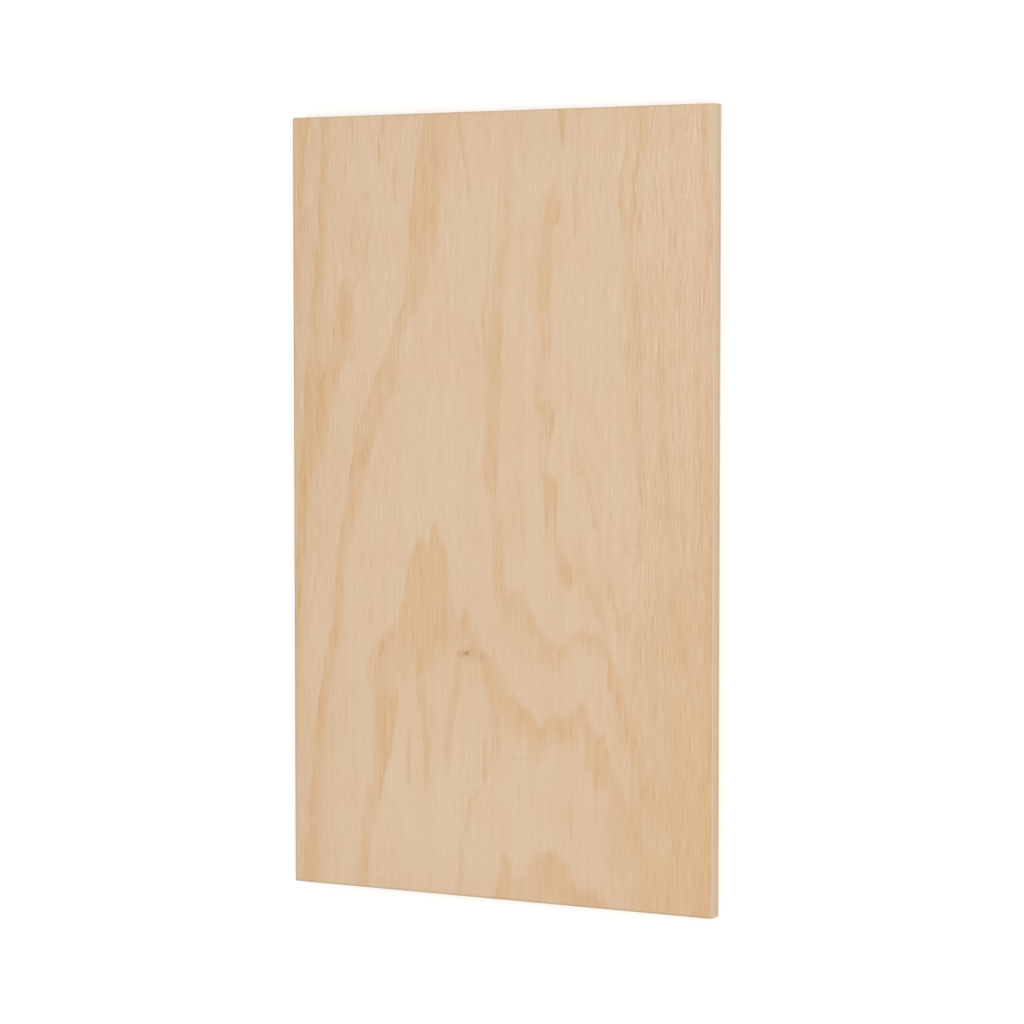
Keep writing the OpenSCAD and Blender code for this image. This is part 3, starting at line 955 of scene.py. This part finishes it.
class PLYWOOD_OT_build_stage(bpy.types.Operator):
    """Lay the pale floor, light it softly and set the camera"""

    bl_idname = "plywood.build_stage"
    bl_label = "Build Stage"
    bl_options = {"REGISTER", "UNDO"}

    def execute(self, context):
        stage = context.scene.plywood_stage
        self.lay_floor(context, stage)
        self.light(context, stage)
        self.set_camera(context, stage)
        context.scene.view_settings.view_transform = "Standard"
        return {"FINISHED"}

    def lay_floor(self, context, stage):
        mesh = bpy.data.meshes.new("floor")
        corners = [(x * FLOOR_REACH, y * FLOOR_REACH, 0) for x, y in ((-1, -1), (1, -1), (1, 1), (-1, 1))]
        mesh.from_pydata(corners, [], [(0, 1, 2, 3)])
        floor = bpy.data.objects.new("floor", mesh)
        context.scene.collection.objects.link(floor)
        material, nodes, shader = new_material("floor")
        shader.inputs["Base Color"].default_value = (*stage.floor_colour, 1.0)
        shader.inputs["Roughness"].default_value = 0.9
        shader.inputs["Specular IOR Level"].default_value = 0.0
        shader.inputs["Emission Color"].default_value = WHITE
        seen = nodes.add("ShaderNodeLightPath").outputs["Is Camera Ray"]
        nodes.feed(shader.inputs["Emission Strength"], nodes.math("MULTIPLY", seen, stage.floor_lift))
        mesh.materials.append(material)

    def light(self, context, stage):
        world = bpy.data.worlds.new("studio")
        world.use_nodes = True
        nodes = NodeBuilder(world.node_tree)
        world.node_tree.nodes.clear()
        seen = nodes.add("ShaderNodeLightPath").outputs["Is Camera Ray"]
        lit = nodes.math("ADD", stage.sky_strength, nodes.math("MULTIPLY", seen, 1 - stage.sky_strength))
        sky = nodes.add("ShaderNodeBackground", {"Color": WHITE, "Strength": lit})
        output = nodes.add("ShaderNodeOutputWorld")
        nodes.feed(output.inputs["Surface"], sky.outputs["Background"])
        context.scene.world = world

        lamp = bpy.data.lights.new("key", "AREA")
        lamp.shape = "DISK"
        lamp.size = stage.key_size
        lamp.energy = stage.key_power
        key = bpy.data.objects.new("key", lamp)
        key.location = stage.key_place
        key.rotation_euler = (-key.location).to_track_quat("-Z", "Y").to_euler()
        context.scene.collection.objects.link(key)

    def set_camera(self, context, stage):
        camera = bpy.data.objects.new("camera", bpy.data.cameras.new("camera"))
        camera.data.lens = stage.lens
        camera.data.sensor_width = SENSOR_WIDTH_MM
        level = math.cos(stage.elevation)
        back = Vector((
            math.sin(stage.azimuth) * level, -math.cos(stage.azimuth) * level, math.sin(stage.elevation)))
        right = Vector((0, 1, 0)).cross(back).normalized()
        turn = Matrix((right, back.cross(right), back)).transposed()
        camera.matrix_world = Matrix.LocRotScale(
            Vector(stage.aim) + back * stage.distance, turn.to_quaternion(), None)
        context.scene.collection.objects.link(camera)
        context.scene.camera = camera


class PLYWOOD_PT_panel(bpy.types.Panel):
    """Sizes, colours and steps of the plywood sheet"""

    bl_idname = "PLYWOOD_PT_panel"
    bl_label = "Plywood Sheet"
    bl_space_type = "VIEW_3D"
    bl_region_type = "UI"
    bl_category = "Plywood"

    def draw(self, context):
        for group, kind in SETTINGS.items():
            column = self.layout.column(align=True)
            for name in kind.__annotations__:
                column.prop(getattr(context.scene, group), name)
        for step in STEPS:
            self.layout.operator(step.bl_idname)


STEPS = (PLYWOOD_OT_build_sheet, PLYWOOD_OT_build_stage)
SETTINGS = {
    "plywood_sheet": PlywoodSheetSettings,
    "plywood_colours": PlywoodColourSettings,
    "plywood_stage": PlywoodStageSettings,
}
CLASSES = (*SETTINGS.values(), *STEPS, PLYWOOD_PT_panel)


def register():
    for item in CLASSES:
        bpy.utils.register_class(item)
    for name, group in SETTINGS.items():
        setattr(bpy.types.Scene, name, PointerProperty(type=group))


def unregister():
    for name in SETTINGS:
        delattr(bpy.types.Scene, name)
    for item in reversed(CLASSES):
        bpy.utils.unregister_class(item)


def main():
    register()
    bpy.ops.plywood.build_sheet()
    bpy.ops.plywood.build_stage()


if __name__ == "__main__":
    main()
